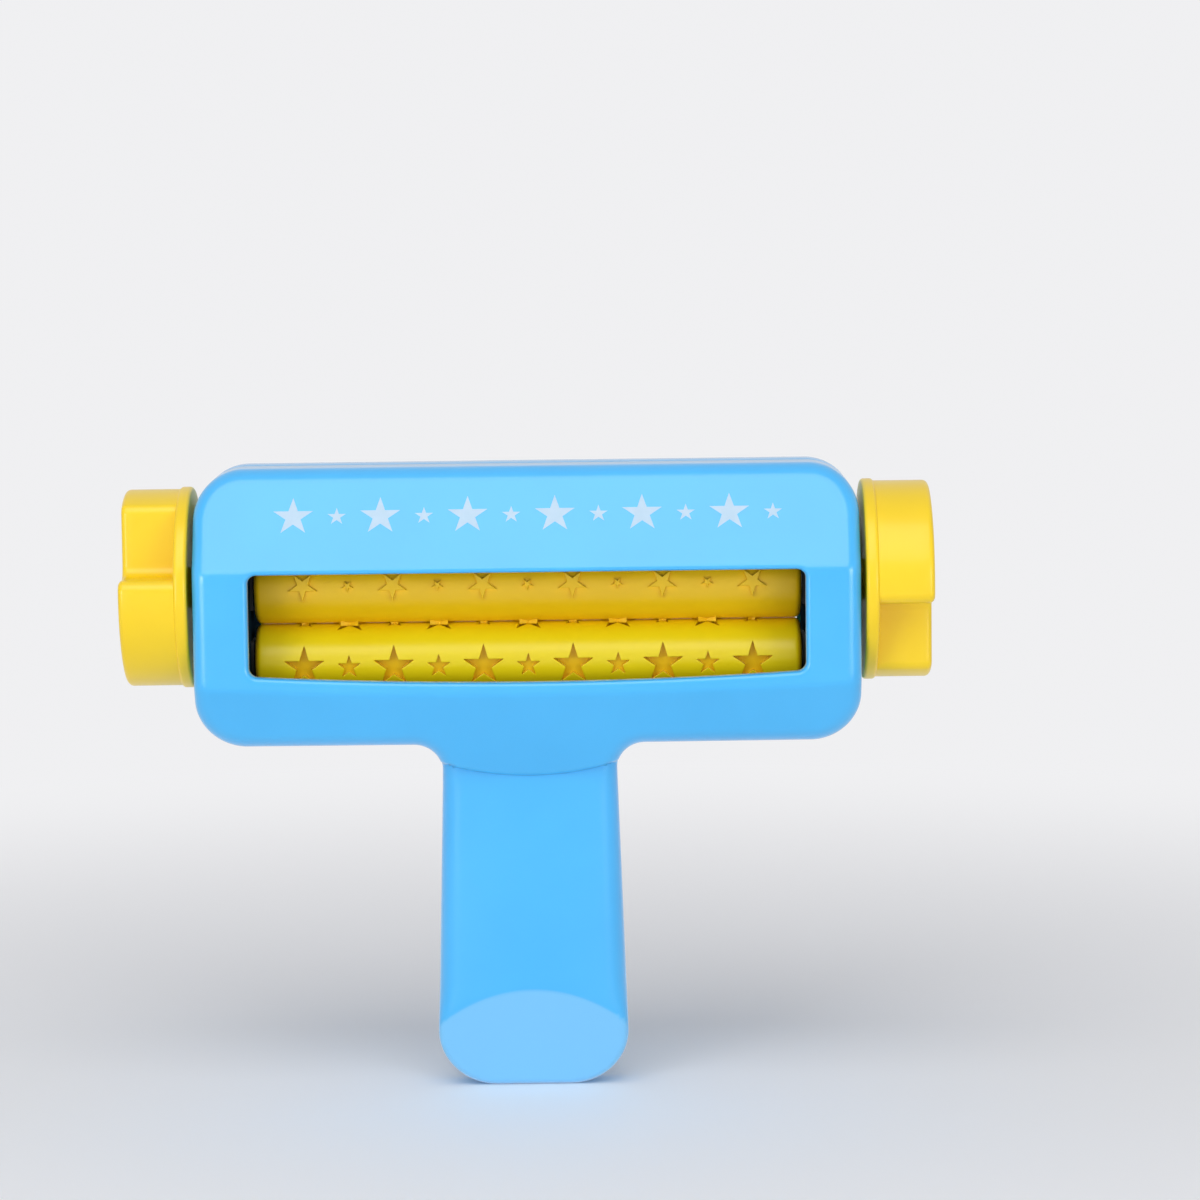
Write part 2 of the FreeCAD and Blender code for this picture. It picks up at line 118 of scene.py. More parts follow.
def inwardNormals(path):
    # unit normals that point into a closed outline, whichever way round it runs
    along = np.roll(path, -1, 0) - np.roll(path, 1, 0)
    along /= np.linalg.norm(along, axis=1)[:, None]
    x, z = path[:, 0], path[:, 1]
    area = np.sum(x * np.roll(z, -1) - np.roll(x, -1) * z)
    sign = 1 if area > 0 else -1
    return np.stack([-along[:, 1], along[:, 0]], 1) * sign


def offsetPath(path, distance):
    return path + inwardNormals(path) * np.broadcast_to(distance, len(path))[:, None]


def insideBy(points, path):
    # how far each point lies inside a closed outline, negative outside
    normals = inwardNormals(path)
    result = np.empty(len(points))
    for start in range(0, len(points), 2000):
        part = points[start : start + 2000]
        gap = part[:, None, :] - path[None, :, :]
        nearest = np.argmin((gap**2).sum(2), 1)
        towards = gap[np.arange(len(part)), nearest]
        result[start : start + 2000] = (towards * normals[nearest]).sum(1)
    return result


def within(points, path):
    # even-odd test, also right beside sharp corners
    x, z = points[:, 0:1], points[:, 1:2]
    x0, z0 = path[:, 0], path[:, 1]
    x1, z1 = np.roll(x0, -1), np.roll(z0, -1)
    crossed = (z0 > z) != (z1 > z)
    drop = np.where(np.abs(z1 - z0) < 1e-12, 1e-12, z1 - z0)
    return (crossed & (x < x0 + (z - z0) * (x1 - x0) / drop)).sum(1) % 2 == 1


def between(points, loops, gap=-nought):
    # whether points lie inside the first closed loop and outside the others, by a gap
    keep = insideBy(points, loops[0]) > gap
    for loop in loops[1:]:
        keep &= insideBy(points, loop) < -gap
    return keep


def triangulate(loops, extra=(), keep=None):
    # triangles over loose points between closed loops, or where keep() says so
    coords, edges = [], []
    for loop in loops:
        first = len(coords)
        coords += [tuple(p) for p in loop]
        edges += [(first + i, first + (i + 1) % len(loop)) for i in range(len(loop))]
    coords += [tuple(p) for p in extra]
    points, _, faces, *_ = delaunay_2d_cdt([Vector(c) for c in coords], edges, [], 0, 1e-5)
    points = np.array([tuple(p) for p in points])
    faces = np.array([tuple(f) for f in faces if len(f) == 3])
    middles = points[faces].mean(1)
    return points, faces[keep(middles) if keep else between(middles, loops)]


def newObject(name, data):
    made = bpy.data.objects.new(name, data)
    bpy.context.scene.collection.objects.link(made)
    return made


class Sheets:
    # collects vertices and faces in millimetres and welds them into one object

    def __init__(self):
        self.verts, self.faces = [], []

    def add(self, verts, faces):
        first = len(self.verts)
        self.verts += [tuple(v) for v in verts]
        self.faces += [tuple(first + i for i in face) for face in faces]

    def strip(self, rings):
        # quads between closed rings of the same number of points
        count = len(rings[0])
        sides = [(i, (i + 1) % count) for i in range(count)]
        faces = []
        for r in range(0, count * (len(rings) - 1), count):
            faces += [(r + i, r + j, r + count + j, r + count + i) for i, j in sides]
        self.add([p for ring in rings for p in ring], faces)

    def slab(self, outline, x0, x1):
        # a closed prism along X over an outline of (y, z) points
        count = len(outline)
        verts = [(x, y, z) for x in (x0, x1) for y, z in outline]
        faces = [(i, (i + 1) % count, count + (i + 1) % count, count + i) for i in range(count)]
        self.add(verts, faces + [tuple(range(count)), tuple(range(count, 2 * count))])

    def build(self, name, weld=0.004):
        mesh = bpy.data.meshes.new(name)
        bm = bmesh.new()
        made = [bm.verts.new(Vector(v) * mm) for v in self.verts]
        for face in self.faces:
            if len(set(face)) == len(face):
                bm.faces.new([made[i] for i in face])
        bmesh.ops.remove_doubles(bm, verts=bm.verts, dist=weld * mm)
        bmesh.ops.dissolve_degenerate(bm, edges=bm.edges, dist=nought)
        bmesh.ops.recalc_face_normals(bm, faces=bm.faces)
        bm.to_mesh(mesh)
        bm.free()
        return newObject(name, mesh)


def finishPiece(piece, body, material, replaced=(), sharp=38):
    mesh = piece.data
    mesh.shade_smooth()
    mesh.set_sharp_from_angle(angle=math.radians(sharp))
    mesh.materials.clear()
    mesh.materials.append(material)
    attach(piece, body)
    if replaced:
        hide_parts(*replaced)
    print("  made", piece.name, len(mesh.polygons), "faces")


class Nodes:
    # adds nodes to a tree and gives their sockets, by name or number, a value or another socket

    def __init__(self, tree):
        self.tree = tree

    def give(self, socket, value):
        if isinstance(value, bpy.types.NodeSocket):
            self.tree.links.new(value, socket)
        else:
            socket.default_value = value

    def add(self, kind, sockets=None, **settings):
        node = self.tree.nodes.new(kind)
        for key, value in settings.items():
            setattr(node, key, value)
        for key, value in (sockets or {}).items():
            self.give(node.inputs[key], value)
        return node

    def first(self, kind, sockets=None, **settings):
        return self.add(kind, sockets, **settings).outputs[0]

    def maths(self, operation, *values):
        return self.first("ShaderNodeMath", dict(enumerate(values)), operation=operation)

    def vector(self, operation, *values):
        return self.first("ShaderNodeVectorMath", dict(enumerate(values)), operation=operation)

    def axes(self, vector):
        return self.add("ShaderNodeSeparateXYZ", {0: vector}).outputs

    def mapped(self, value, low, high, wanted=(0, 1), interpolation="SMOOTHSTEP"):
        ends = {"From Min": low, "From Max": high, "To Min": wanted[0], "To Max": wanted[1]}
        return self.first("ShaderNodeMapRange", {"Value": value, **ends}, interpolation_type=interpolation)

    def mixOut(self, output, share, *shaders):
        # the mix of two shaders is what shows
        mixed = self.first("ShaderNodeMixShader", {0: share, 1: shaders[0], 2: shaders[1]})
        self.give(self.tree.nodes[output].inputs["Surface"], mixed)


class Finish(Nodes):
    # the nodes of a material, with its shader and the places on its piece

    def __init__(self, material):
        material.use_nodes = True
        super().__init__(material.node_tree)
        self.shader = self.tree.nodes["Principled BSDF"]
        self.place = self.add("ShaderNodeTexCoord").outputs["Object"]

    def shade(self, sockets):
        for name, value in sockets.items():
            self.give(self.shader.inputs[name], value)

    def noise(self, place, scale, detail):
        return self.first("ShaderNodeTexNoise", {"Vector": place, "Scale": scale, "Detail": detail})

    def tint(self, share, colour):
        # lays a second colour over the first where the share is 1
        under = self.shader.inputs["Base Color"].links[0].from_socket
        mixed = self.add("ShaderNodeMix", {0: share, 6: under, 7: (*colour, 1)}, data_type="RGBA")
        self.shade({"Base Color": mixed.outputs[2]})


def plastic(name):
    # moulded plastic: even colour, faint mottling, a fine orange-peel skin and uneven gloss
    look, material = finishes[name], bpy.data.materials.new(name)
    finish = Finish(material)
    cloud = finish.noise(finish.place, look["cloudScale"], 3)
    ramp = finish.add("ShaderNodeValToRGB", {"Fac": cloud})
    ramp.color_ramp.interpolation = "EASE"
    for stop, place, colour in zip(ramp.color_ramp.elements, (0.3, 0.7), look["colours"]):
        stop.position, stop.color = place, (*colour, 1)
    peelScale, strength = look["peel"]
    peel = finish.noise(finish.place, peelScale, 2)
    bump = {"Height": peel, "Strength": strength, "Distance": 0.1 * mm}
    finish.shade({
        "Base Color": ramp.outputs["Color"],
        "Roughness": finish.mapped(cloud, 0, 1, look["roughness"]),
        "Normal": finish.first("ShaderNodeBump", bump),
        "IOR": 1.52, "Coat Weight": look.get("coat", 0.0), "Coat Roughness": 0.12,
    })
    return material


def steel(name):
    # turned or drawn steel: fine rings or lines across the axis
    look, material = finishes[name], bpy.data.materials.new(name)
    finish = Finish(material)
    stretched = finish.first("ShaderNodeMapping", {"Vector": finish.place, "Scale": look["grain"]})
    gloss = finish.mapped(finish.noise(stretched, 1, 4), 0, 1, look["roughness"], "LINEAR")
    finish.shade({"Base Color": (*look["colour"], 1), "Metallic": 1.0, "Roughness": gloss})
    return material


def paintEndSheen(material, look):
    # painted sheen: a paler colour laid over the sloped end of the handle, where the mesh is marked for it,
    # for the reflection it catches
    finish = Finish(material)
    mark = finish.add("ShaderNodeAttribute", attribute_name=look["mark"])
    finish.tint(mark.outputs["Fac"], look["colour"])


def paintInsideShade(material, look):
    # painted shade: the faces round the rollers, in a box, are darkened and lose their sheen, for the shade
    # inside the mouth
    finish = Finish(material)
    middle, half = Vector(look["middle"]) * mm, Vector(look["half"]) * mm
    apart = finish.vector("ABSOLUTE", finish.vector("SUBTRACT", finish.place, middle))
    past = finish.axes(finish.vector("SUBTRACT", apart, half))
    furthest = finish.maths("MAXIMUM", finish.maths("MAXIMUM", past["X"], past["Y"]), past["Z"])
    outside = finish.maths("GREATER_THAN", furthest, 0.0)
    for name in ("Specular IOR Level", "Coat Weight"):
        usual = finish.shader.inputs[name].default_value
        finish.shade({name: finish.maths("MULTIPLY", outside, usual)})
    finish.tint(finish.maths("SUBTRACT", 1.0, outside), look["colour"])


def paintPocketShade(material, look, axis):
    # painted shade: less light leaves the pockets, so they are darkened below the roller's skin
    finish = Finish(material)
    across = finish.axes(finish.vector("SUBTRACT", finish.place, (0, 0, axis * mm)))
    squares = [finish.maths("POWER", across[name], 2.0) for name in "YZ"]
    radius = finish.maths("SQRT", finish.maths("ADD", *squares))
    depth = finish.maths("SUBTRACT", look["radius"] * mm, radius)
    finish.tint(finish.mapped(depth, 0, look["blend"] * mm, interpolation="LINEAR"), look["colour"])


finishes = {
    "housingPlastic": {
        "colours": [(0.042, 0.44, 0.87), (0.047, 0.46, 0.90)],
        "cloudScale": 40, "roughness": (0.285, 0.33), "peel": (900, 0.12), "coat": 0.6,
    },
    # painted shade: the dark colour of the faces inside the mouth
    "inside": {"middle": (0, 0, 105.5), "half": (64.6, 20.3, 15.5), "colour": (0.010, 0.026, 0.045)},
    # painted sheen: the paler colour laid over the handle's sloped end
    "handleEnd": {"mark": "slopedEnd", "colour": (0.17, 0.545, 0.90)},
    "knobPlastic": {
        "colours": [(0.88, 0.60, 0.002), (0.91, 0.625, 0.003)],
        "cloudScale": 45, "roughness": (0.29, 0.36), "peel": (900, 0.12), "coat": 0.1,
    },
    # painted shade: the upper roller is the lower roller's yellow plastic in a darker, more orange copy, for
    # the shade it sits in
    "driveRollerShadedPlastic": {
        "colours": [(0.96, 0.59, 0.002), (0.98, 0.62, 0.003)],
        "cloudScale": 60, "roughness": (0.34, 0.44), "peel": (1100, 0.12),
    },
    "drivenRollerPlastic": {
        "colours": [(0.99, 0.755, 0.003), (1.0, 0.785, 0.004)],
        "cloudScale": 60, "roughness": (0.28, 0.38), "peel": (1100, 0.12),
    },
    # painted shade: the darker colour in the lower roller's pockets
    "pockets": {"radius": 8.38, "blend": 0.15, "colour": (0.90, 0.58, 0.002)},
    "naturalAcetal": {
        "colours": [(0.80, 0.79, 0.74), (0.84, 0.83, 0.78)],
        "cloudScale": 80, "roughness": (0.38, 0.5), "peel": (1500, 0.2),
    },
    "blackAcetal": {
        "colours": [(0.012, 0.012, 0.013), (0.016, 0.016, 0.017)],
        "cloudScale": 80, "roughness": (0.4, 0.5), "peel": (1500, 0.2),
    },
    "starPrint": {
        "colours": [(0.43, 0.59, 0.73), (0.47, 0.62, 0.76)],
        "cloudScale": 300, "roughness": (0.35, 0.5), "peel": (2500, 0.3),
    },
    "drawnSteel": {"colour": (0.55, 0.55, 0.57), "roughness": (0.22, 0.36), "grain": (60, 2500, 2500)},
    "zincSteel": {"colour": (0.58, 0.58, 0.6), "roughness": (0.25, 0.4), "grain": (1800, 1800, 1800)},
}
housingPlastic = plastic("housingPlastic")
# painted sheen on the handle's sloped end
paintEndSheen(housingPlastic, finishes["handleEnd"])
# painted shade inside the mouth
paintInsideShade(housingPlastic, finishes["inside"])
knobPlastic = plastic("knobPlastic")
driveShadedPlastic = plastic("driveRollerShadedPlastic")
drivenPlastic = plastic("drivenRollerPlastic")
paintPocketShade(drivenPlastic, finishes["pockets"], lowerAxis)
acetal = plastic("naturalAcetal")
bushPlastic = plastic("blackAcetal")
starPrint = plastic("starPrint")
shaftSteel = steel("drawnSteel")
screwSteel = steel("zincSteel")
print("materials made")


# housing: front and rear shells over one height field

shellLow, shellHigh = nodeBox("front_shell")
housing = {
    "bodyLength": shellHigh.x * 2, "bodyDepth": -shellLow.y * 2, "aboveNip": shellHigh.z - nip,
    "belowNip": 26.0, "cornerRadius": 11.0,
    "wall": 2.2, "wallAcross": 1.1,  # its thickness, and how many times as deep it is along Y
    "bodyRim": 3.0, "handleRim": 4.2, "endRim": 1.4, "innerRim": 0.6,
    "bodyRimBelowNip": (37.0, 30.0), "handleRimHeights": (11.0, 25.0),
    "bandAboveNip": 13.4, "bandBelowNip": 13.9, "bandBow": 1.9,
    "upperSlope": 28.0, "lowerSlope": 28.6, "edgeBlend": 0.55,
    "neckWidth": 39.0, "neckEase": 0.2, "neckBelowNip": 32.2, "shoulderRadius": 6.2,
    "handleEndWidth": 43.5, "handleEndCorner": 13.0,
    "handleEndDepth": 25.2, "handleNeckDepth": 23.2, "endCrown": 3.4, "neckCrown": 0.6,
    "endSlope": 18.0, "endSlopeHeight": 23.5,
    "creaseBelowNip": 33.5, "creaseRise": 3.1, "creaseLip": 0.8,
    "gridStep": 1.0, "gridGap": 0.45, "rowGap": 0.25, "innerStep": 3.0,
    "seamGap": 0.12, "seamBevel": 0.2, "hubNotch": 4.9,
}
mouth = {"length": 122.4, "aboveNip": 13.0, "belowNip": 11.2, "bow": 1.8, "corner": 2.0, "lip": 1.1}
screwHoles = {
    "radius": 3.2, "lip": 0.35, "floor": 7.0, "shank": 1.55,
    "places": [(-57.0, nip + 26.0), (57.0, nip + 26.0), (0.0, nip - 27.0), (0.0, 24.0)],
}


def alongHandle(atEnd, atNeck, z):
    neck = nip - housing["neckBelowNip"]
    return atEnd + (atNeck - atEnd) * np.minimum(z, neck) / neck


def handleFaces(x, z):
    # the depths of the crowned front and of the sloped end
    half = alongHandle(housing["handleEndWidth"], housing["neckWidth"], z) / 2
    crown = alongHandle(housing["endCrown"], housing["neckCrown"], z)
    ends = housing["handleEndDepth"], housing["handleNeckDepth"]
    front = alongHandle(*ends, z) / 2 - crown * (x / half) ** 2
    start = alongHandle(*ends, housing["endSlopeHeight"]) / 2
    facet = start - (housing["endSlopeHeight"] - z) * math.tan(math.radians(housing["endSlope"]))
    return front, facet


def handleDepth(x, z):
    return smoothMin(*handleFaces(x, z), housing["edgeBlend"] / 2)


def bandEdge(x):
    return nip - housing["bandBelowNip"] + housing["bandBow"] * (x / (housing["bodyLength"] / 2)) ** 2


def bodyDepth(x, z):
    band = housing["bodyDepth"] / 2
    upper = band - (z - nip - housing["bandAboveNip"]) * math.tan(math.radians(housing["upperSlope"]))
    lower = band - (bandEdge(x) - z) * math.tan(math.radians(housing["lowerSlope"]))
    return smoothMin(smoothMin(band, upper, housing["edgeBlend"]), lower, housing["edgeBlend"])


def creaseHeight(x):
    half = housing["neckWidth"] / 2
    share = np.minimum(np.abs(x), half + housing["shoulderRadius"]) / half
    return nip - housing["creaseBelowNip"] + housing["creaseRise"] * share**2


def depthAt(x, z):
    handle = handleDepth(x, z)
    above = z - creaseHeight(x)
    body = bodyDepth(x, z) - easeEdge(above, housing["creaseLip"])
    return np.where(above >= 0, np.maximum(body, handle), handle)


def rimRadius(z):
    low, high = housing["bodyRimBelowNip"]
    body = smoothStep(nip - low, nip - high, z)
    grip = smoothStep(*housing["handleRimHeights"], z)
    rim = housing["endRim"] + (housing["handleRim"] - housing["endRim"]) * grip
    return rim + (housing["bodyRim"] - rim) * body


def housingOutline():
    half = housing["bodyLength"] / 2
    top, bottom = nip + housing["aboveNip"], nip - housing["belowNip"]
    neck, end = housing["neckWidth"] / 2, housing["handleEndWidth"] / 2
    right = [
        (half, top, housing["cornerRadius"]),
        (half, bottom, housing["cornerRadius"]),
        (neck - housing["neckEase"], bottom, housing["shoulderRadius"]),
        (end, 0.0, housing["handleEndCorner"]),
    ]
    return roundedPath(right + [(-x, z, radius) for x, z, radius in reversed(right)], turn=3.0)


def mouthOutline():
    half = mouth["length"] / 2
    top, bottom = nip + mouth["aboveNip"], nip - mouth["belowNip"]
    corners = [(half, top), (half, bottom), (-half, bottom), (-half, top)]
    path = roundedPath([(x, z, mouth["corner"]) for x, z in corners])
    share = (top - path[:, 1]) / (top - bottom)
    path[:, 1] += mouth["bow"] * (path[:, 0] / half) ** 2 * share
    return path


def arcPath(centre, radius, turns):
    return np.stack([centre[0] + radius * np.cos(turns), centre[1] + radius * np.sin(turns)], 1)


def circlePath(x, z, radius, count=40):
    return arcPath((x, z), radius, np.linspace(0, 2 * math.pi, count, endpoint=False))


def gridPoints(step, path):
    # points in rows over the box round an outline, every second row half a step further along
    low, high = path.min(0), path.max(0)
    points = []
    for i, z in enumerate(np.arange(low[1], high[1], step * rowShare)):
        points += [(x, z) for x in np.arange(low[0] + (i % 2) * step / 2, high[0], step)]
    return np.array(points)


featureAt = {
    # half the lengths of rows along body, neck and end, with their steps, then places beside bends
    "spans": ((80, 1.0), (25, 0.5), (21, 0.6)),
    "beside": (-1.1, -0.7, -0.35, 0, 0.35, 0.7, 1.1), "besideEnd": (-1.0, -0.5, 0, 0.5, 1.0),
    "belowCrease": [-0.9, -0.45, -0.15, -0.02],
    "archDrop": 0.8, "archHalf": 21.2,
}


def featureRows():
    # rows of points that follow the bends of the surface, so that each bend is evenly round
    body, neck, end = (np.arange(-half, half + 0.01, step) for half, step in featureAt["spans"])
    tangent = math.tan(math.radians(housing["endSlope"]))
    drop = housing["endCrown"] * featureAt["archDrop"] * (end / featureAt["archHalf"]) ** 2
    arch = housing["endSlopeHeight"] - drop / tangent
    lip = [share * housing["creaseLip"] for share in easeSteps(5)]
    rows = []
    for shift in featureAt["beside"]:
        rows.append((body, np.full_like(body, nip + housing["bandAboveNip"] + shift)))
        rows.append((body, bandEdge(body) + shift))
    rows += [(neck, creaseHeight(neck) + shift) for shift in lip + featureAt["belowCrease"]]
    rows += [(end, arch + shift) for shift in featureAt["besideEnd"]]
    return np.concatenate([np.stack(row, 1) for row in rows])


def thinnedOut(points, dense, gap):
    # drops loose points that lie nearer than gap to the dense ones
    return points[[((dense - point) ** 2).sum(1).min() > gap * gap for point in points]]


def shellHalf(side, holes):
    # side is -1 for the front and 1 for the rear
    sheets = Sheets()
    outline, hole = housingOutline(), mouthOutline()
    radii, wall = rimRadius(outline[:, 1]), housing["wall"]
    shares = easeSteps(6)

    def upright(path, depth):
        return np.stack([path[:, 0], np.broadcast_to(side * depth, len(path)), path[:, 1]], 1)

    def lift(points, drop=0.0):
        return upright(points, depthAt(*points.T) - drop)

    def liftInner(points, drop=0.0):
        return lift(points, drop + wall * housing["wallAcross"])

    def edgeRings(path, radius, steps, start=0.0, inwards=1, raised=lift):
        # rings over a rounded edge, from its foot to the flat beside it
        insets = [(start + inwards * radius * share, easeEdge(radius * share, radius)) for share in steps]
        return [raised(offsetPath(path, inset), drop) for inset, drop in insets]

    rim = edgeRings(outline, radii, shares)
    lip = edgeRings(hole, mouth["lip"], shares, inwards=-1)
    sheets.strip(rim)
    sheets.strip(lip)
    loops = [rim[-1][:, ::2], lip[-1][:, ::2]]
    for x, z in holes:
        rings = edgeRings(circlePath(x, z, screwHoles["radius"]), screwHoles["lip"], shares[::2], inwards=-1)
        sheets.strip(rings)
        foot = rings[0][:, ::2], circlePath(x, z, screwHoles["shank"])
        sheets.strip([rings[0]] + [upright(path, screwHoles["floor"]) for path in foot])
        loops.append(rings[-1][:, ::2])
    rows = featureRows()
    rows = rows[between(rows, loops, housing["rowGap"])]
    loose = gridPoints(housing["gridStep"], outline)
    loose = thinnedOut(loose[between(loose, loops, housing["gridGap"])], rows, housing["gridStep"] / 2)
    points, faces = triangulate(loops, np.concatenate([rows, loose]))
    sheets.add(lift(points), faces)

    # the wall down to the seam, with a notch round each knob's hub; half way in, the halves meet, so
    # that no light comes through
    seam, bevel = housing["seamGap"] / 2, housing["seamBevel"]
    atEnds = np.abs(outline[:, 0]) > housing["bodyLength"] / 2 - 0.01
    notch = np.where(atEnds, housing["hubNotch"] ** 2 - (outline[:, 1] - upperAxis) ** 2, 0)
    stop = np.maximum(np.sqrt(np.maximum(notch, 0)), seam)
    meet = np.where(stop > seam, stop, 0.0)
    steps = [(0.0, stop + bevel), (bevel * 0.3, stop + bevel * 0.3), (bevel, stop)]
    steps += [(wall / 2, stop), (wall / 2, meet), (wall, meet)]
    innerRadii = np.maximum(radii - wall, housing["innerRim"])
    innerRim = edgeRings(outline, innerRadii, shares[::3], start=wall, raised=liftInner)
    edge = [upright(offsetPath(outline, inset), depth) for inset, depth in steps]
    sheets.strip([rim[0]] + edge + [innerRim[0]])
    sheets.strip(innerRim)
    sheets.strip([lip[0], liftInner(hole)])
    loops = [innerRim[-1][:, ::2], hole]
    coarse = gridPoints(housing["innerStep"], outline)
    points, faces = triangulate(loops, coarse[between(coarse, loops, 1)])
    sheets.add(liftInner(points), faces)
    addInnerWalls(sheets, side)
    return sheets


innerWalls = {
    "ledge": 1.6, "upperLedgeAboveNip": 14.45, "lowerLedgeBelowNip": 14.8,
    "ledgeReach": 20.5, "ledgeStop": 10.0,
    "bulkheadStart": 62.0, "bulkheadEnd": 64.5, "seat": 4.05,
    "bulkhead": [(0, 32.5), (11.5, 32.5), (20.5, 13.5), (20.5, -12.5), (13.5, -23.5), (0, -23.5)],
}


def addInnerWalls(sheets, side):
    # two ledges along the mouth and a bulkhead at each end, with seats for the bushes
    start, end, seat = (innerWalls[name] for name in ("bulkheadStart", "bulkheadEnd", "seat"))
    near, far = side * innerWalls["ledgeStop"], side * innerWalls["ledgeReach"]
    for low in (nip + innerWalls["upperLedgeAboveNip"], nip - innerWalls["lowerLedgeBelowNip"]):
        high = low + innerWalls["ledge"]
        sheets.slab([(near, low), (far, low), (far, high), (near, high)], -end, end)
    outline = [(side * y, nip + z) for y, z in innerWalls["bulkhead"]]
    for height in (lowerAxis, upperAxis):
        low, high, back = height - seat, height + seat, side * seat
        outline += [(0, low), (back, low), (back, high), (0, high)]
    for x in (-end, start):
        sheets.slab(outline, x, x + end - start)


def markPaintedSheen(piece):
    # the mask of the painted sheen: 1 on the sloped end of the handle, easing to 0 over its upper edge and
    # round its rim
    mesh = piece.data
    places = np.empty(len(mesh.vertices) * 3)
    mesh.vertices.foreach_get("co", places)
    x, y, z = places.reshape(-1, 3).T / mm
    front, facet = handleFaces(x, z)
    share = smoothStep(0, 0.3, front - facet) * smoothStep(-housing["endRim"], -0.3, np.abs(y) - facet)
    mark = mesh.attributes.new(finishes["handleEnd"]["mark"], "FLOAT", "POINT")
    mark.data.foreach_set("value", share.astype(np.float32))


for side, name, node, holes in (
    (-1, "frontShell", "front_shell", []),
    (1, "rearShell", "rear_shell", screwHoles["places"]),
):
    shell = shellHalf(side, holes).build(name)
    markPaintedSheen(shell)
    finishPiece(shell, "housing", housingPlastic, [node])
print("housing made")


# rollers: pockets below, raised stars above

roller = {
    "radius": 8.455, "length": 122.0, "endRound": 1.5, "bore": 2.55,
    "rows": 4, "stars": 11, "pitch": 10.0, "turn": 4.0,
    "largePocket": 4.7, "smallPocket": 2.7, "tipDepth": 0.6, "pocketRim": 0.14,
    "clearance": 1.294, "starRoot": 2.5, "starTop": 9.15, "starChamfer": 0.16,
    "around": 144, "rings": 31, "alongStep": 0.9, "starStep": 0.45, "starGap": 0.22,
    "endBevel": 0.2, "boreBevel": 0.3,
}
chamferLean = 2.2  # how much a star shrinks over its chamfer, in heights of it
starInner = math.sin(math.radians(18)) / math.sin(math.radians(126))


def starPath(radius):
    corners = []
    for i in range(10):
        reach = radius if i % 2 == 0 else radius * starInner
        turn = math.radians(90 + 36 * i)
        corners.append(Vector((reach * math.cos(turn), reach * math.sin(turn))))
    return spreadAlong(corners, roller["starStep"], least=2)


def onRoller(x, angle, radius, axis):
    return np.stack([x, -radius * np.cos(angle), axis + radius * np.sin(angle)], -1)


def rollerEnds(sheets, angles, axis):
    # rounded ends, end faces and the bore, from one end of the barrel to the other
    radius, rim = roller["radius"], roller["endRound"]
    half = roller["length"] / 2
    quarter = np.linspace(0, math.pi / 2, 8)
    profile = [(half - rim + rim * math.sin(t), radius - rim + rim * math.cos(t)) for t in quarter]
    bore, bevel = roller["bore"], roller["boreBevel"]
    profile += [(half, radius - rim - roller["endBevel"]), (half, bore + bevel), (half - bevel, bore)]
    profile += [(-x, r) for x, r in reversed(profile)]
    sheets.strip([onRoller(np.full(len(angles), x), angles, r, axis) for x, r in profile])


def pocketRoller(axis):
    # the barrel is meshed unrolled, as (x, arc length) points, with a hole for each pocket
    sheets = Sheets()
    radius = roller["radius"]
    halfBarrel = roller["length"] / 2 - roller["endRound"]
    quarter, lead = 2 * math.pi / roller["rows"], math.radians(roller["turn"])
    angles = -lead - quarter / 2 + np.linspace(0, 2 * math.pi, roller["around"] + 1)
    xs = np.linspace(-halfBarrel, halfBarrel, round(2 * halfBarrel / roller["alongStep"]) + 1)
    rim = [(x, angles[0] * radius) for x in xs[:-1]] + [(xs[-1], a * radius) for a in angles[:-1]]
    rim += [(x, angles[-1] * radius) for x in xs[:0:-1]] + [(xs[0], a * radius) for a in angles[:0:-1]]
    paths = {size: starPath(roller[size]) for size in ("largePocket", "smallPocket")}
    rimPaths = {size: offsetPath(path, -roller["pocketRim"]) for size, path in paths.items()}
    pockets = {size: [] for size in paths}
    loops, grid = [np.array(rim)], [(x, a * radius) for x in xs[1:-1] for a in angles[1:-1]]
    for row in range(roller["rows"]):
        for i in range(roller["stars"]):
            size = "largePocket" if (i - row) % 2 == 0 else "smallPocket"
            x, angle = (i - (roller["stars"] - 1) / 2) * roller["pitch"], row * quarter - lead
            pockets[size].append((x, angle))
            path, outer = paths[size], rimPaths[size]
            loops.append(np.stack([outer[:, 0] + x, radius * (np.arcsin(outer[:, 1] / radius) + angle)], 1))
            rings = []
            for share in easeSteps(4)[::-1]:
                ring = path + (outer - path) * share
                drop = easeEdge(roller["pocketRim"] * share, roller["pocketRim"])
                below = drop - np.sqrt(radius**2 - ring[:, 1] ** 2)
                rings.append(np.stack([ring[:, 0], below, ring[:, 1]], 1))
            floor = math.sqrt(radius**2 - roller[size] ** 2) - roller["tipDepth"]
            rings.append(np.stack([path[:, 0], np.full(len(path), -floor), path[:, 1]], 1))
            rings.append(np.tile([[0.0, -floor, 0.0]], (len(path), 1)))
            turn = np.array(Matrix.Rotation(-angle, 3, "X"))
            sheets.strip([ring @ turn.T + np.array([x, 0, axis]) for ring in rings])

    def outsideStars(points, gap=0):
        angle = points[:, 1] / radius
        keep = np.ones(len(points), bool)
        for size, path in rimPaths.items():
            own = np.array(pockets[size])
            along = np.abs(points[:, None, 0] - own[None, :, 0])
            nearest = own[np.argmin(along + radius * np.abs(angle[:, None] - own[None, :, 1]), 1)]
            turn = np.clip(angle - nearest[:, 1], -1.2, 1.2)
            local = np.stack([points[:, 0] - nearest[:, 0], radius * np.sin(turn)], 1)
            close = np.hypot(local[:, 0], local[:, 1]) < roller[size] + 1
            keep[close] &= ~within(local[close], path)
            if gap:
                keep[close] &= insideBy(local[close], path) < -gap
        return keep

    grid = np.array(grid)
    points, faces = triangulate(loops, grid[outsideStars(grid, roller["starGap"])], outsideStars)
    sheets.add(onRoller(points[:, 0], points[:, 1] / radius, radius, axis), faces)
    rollerEnds(sheets, angles[:-1], axis)
    return sheets


